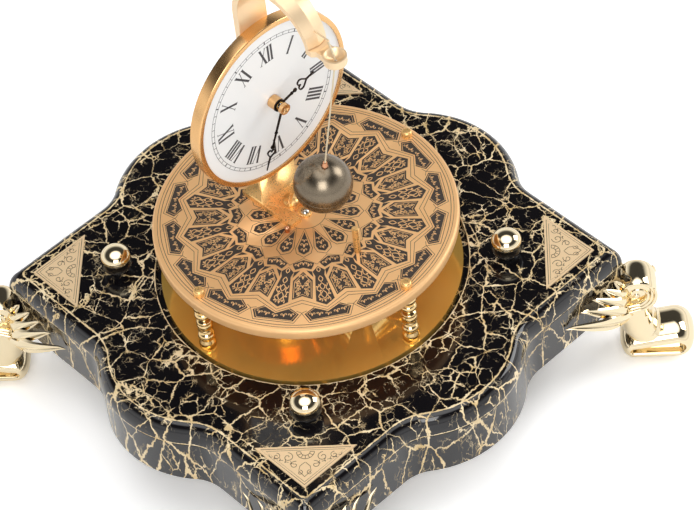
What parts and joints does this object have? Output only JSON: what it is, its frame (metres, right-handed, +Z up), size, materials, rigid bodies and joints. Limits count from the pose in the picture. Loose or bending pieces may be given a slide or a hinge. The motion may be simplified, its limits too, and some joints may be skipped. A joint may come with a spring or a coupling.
{
  "type": "pendulum clock",
  "caption": "Free-standing mantel clock with a round dial on an arched standard, a ball hung on a thread that circles in front of it, and a scalloped base on scroll feet.",
  "frame": {"origin": "centre of the base's footprint, on the table", "axes": "+Z up, the dial faces -Y, +X to the right seen from the front"},
  "size_m": [0.2842, 0.2842, 0.2642],
  "materials": {
    "black_lacquer": "gloss lacquer with gold crackle",
    "pale_brass": "satin, line engraved",
    "champagne_gilt": "polished",
    "felt": "pressed felt",
    "steel": "turned and polished",
    "mirror_brass": "mirror polished",
    "engraved_gilt": "satin gilt with dark filled engraving",
    "satin_gilt": "satin gilt",
    "copper": "copper toned, polished",
    "thread": "twisted thread",
    "white_enamel": "enamel with printed numerals",
    "blued_steel": "dark blued",
    "wheel_brass": "grained",
    "spring_steel": "blue grey",
    "ball_steel": "dark polished"
  },
  "bodies": {
    "root": {"base_body": "black_lacquer", "corner_plate_fr": "pale_brass", "corner_plate_br": "pale_brass", "corner_plate_bl": "pale_brass", "corner_plate_fl": "pale_brass", "foot_fr": "champagne_gilt", "foot_br": "champagne_gilt", "foot_bl": "champagne_gilt", "foot_fl": "champagne_gilt", "foot_pads": "felt", "foot_screws": "steel", "knob_fr": "champagne_gilt", "knob_br": "champagne_gilt", "knob_bl": "champagne_gilt", "knob_fl": "champagne_gilt", "knob_collars": "black_lacquer", "bottom_plate": "mirror_brass", "pillar_right": "mirror_brass", "pillar_back": "mirror_brass", "pillar_left": "mirror_brass", "pillar_front": "mirror_brass", "pillar_nuts": "satin_gilt", "top_plate": "engraved_gilt", "centre_bush": "satin_gilt", "dial_bracket": "satin_gilt", "bracket_screw": "satin_gilt", "dowel_pin": "copper", "standard": "satin_gilt", "dial_screws": "steel", "shaft_cock": "satin_gilt", "suspension_collar": "satin_gilt", "thread_peg": "satin_gilt", "thread_top": "thread", "dial_plate": "white_enamel", "bezel": "satin_gilt", "dial_back": "satin_gilt", "motion_stud": "steel"},
    "pendulum": {"pendulum_ball": "ball_steel", "ball_ferrule": "copper", "pendulum_thread": "thread"},
    "drive_arbor": {"drive_post": "satin_gilt"},
    "fourth_arbor": {"fourth_wheel": "wheel_brass"},
    "centre_arbor_body": {"centre_arbor": "steel", "centre_wheel": "wheel_brass"},
    "third_arbor": {"third_wheel": "wheel_brass"},
    "barrel": {"barrel_drum": "wheel_brass", "great_wheel": "wheel_brass", "mainspring": "spring_steel"},
    "winder": {"winding_arbor": "steel", "ratchet_wheel": "steel"},
    "click_lever": {"click": "steel"},
    "dial_drive": {"dial_shaft": "steel"},
    "minute_works": {"minute_arbor": "steel", "minute_hand": "blued_steel", "minute_hub": "satin_gilt", "crown_wheel": "wheel_brass"},
    "motion_works": {"motion_wheel": "wheel_brass"},
    "hour_works": {"hour_wheel": "wheel_brass", "hour_collet": "satin_gilt", "hour_hand": "blued_steel"}
  },
  "joints": [
    {"name": "pendulum_orbit", "type": "hinge", "parent": "root", "child": "pendulum", "pos_m": [0, -0.0365, 0.2405], "axis": [0, 0, 1], "continuous": true},
    {"name": "drive_spin", "type": "hinge", "parent": "root", "child": "drive_arbor", "pos_m": [0, -0.0365, 0.08], "axis": [0, 0, 1], "continuous": true},
    {"name": "fourth_spin", "type": "hinge", "parent": "root", "child": "fourth_arbor", "pos_m": [0.0198, -0.03336, 0.08], "axis": [0, 0, 1], "continuous": true},
    {"name": "centre_spin", "type": "hinge", "parent": "root", "child": "centre_arbor_body", "pos_m": [0, 0, 0.08], "axis": [0, 0, 1], "continuous": true},
    {"name": "third_spin", "type": "hinge", "parent": "root", "child": "third_arbor", "pos_m": [0.01953, -0.01128, 0.08], "axis": [0, 0, 1], "continuous": true},
    {"name": "barrel_spin", "type": "hinge", "parent": "root", "child": "barrel", "pos_m": [-0.02767, -0.01007, 0.072], "axis": [0, 0, 1], "continuous": true},
    {"name": "winding_spin", "type": "hinge", "parent": "root", "child": "winder", "pos_m": [-0.02767, -0.01007, 0.06], "axis": [0, 0, 1], "continuous": true},
    {"name": "click_rock", "type": "hinge", "parent": "root", "child": "click_lever", "pos_m": [-0.02117, 0.00119, 0.06], "axis": [0, 0, 1], "range_deg": [-12, 0]},
    {"name": "dial_shaft_spin", "type": "hinge", "parent": "root", "child": "dial_drive", "pos_m": [0, 0.0277, 0.1], "axis": [0, 0, 1], "continuous": true},
    {"name": "minute_spin", "type": "hinge", "parent": "root", "child": "minute_works", "pos_m": [0, 0.0135, 0.1806], "axis": [0, 1, 0], "continuous": true},
    {"name": "motion_spin", "type": "hinge", "parent": "root", "child": "motion_works", "pos_m": [0.01445, 0.015, 0.1806], "axis": [0, 1, 0], "continuous": true},
    {"name": "hour_spin", "type": "hinge", "parent": "root", "child": "hour_works", "pos_m": [0, 0.01, 0.1806], "axis": [0, 1, 0], "continuous": true}
  ],
  "couplings": [
    {"joint": "drive_spin", "follows": "pendulum_orbit", "ratio": 1},
    {"joint": "fourth_spin", "follows": "pendulum_orbit", "ratio": -0.11111},
    {"joint": "third_spin", "follows": "centre_spin", "ratio": -8},
    {"joint": "barrel_spin", "follows": "centre_spin", "ratio": -0.16667},
    {"joint": "dial_shaft_spin", "follows": "centre_spin", "ratio": -3},
    {"joint": "minute_spin", "follows": "centre_spin", "ratio": 1},
    {"joint": "motion_spin", "follows": "centre_spin", "ratio": -0.33333},
    {"joint": "hour_spin", "follows": "centre_spin", "ratio": 0.083333}
  ]
}
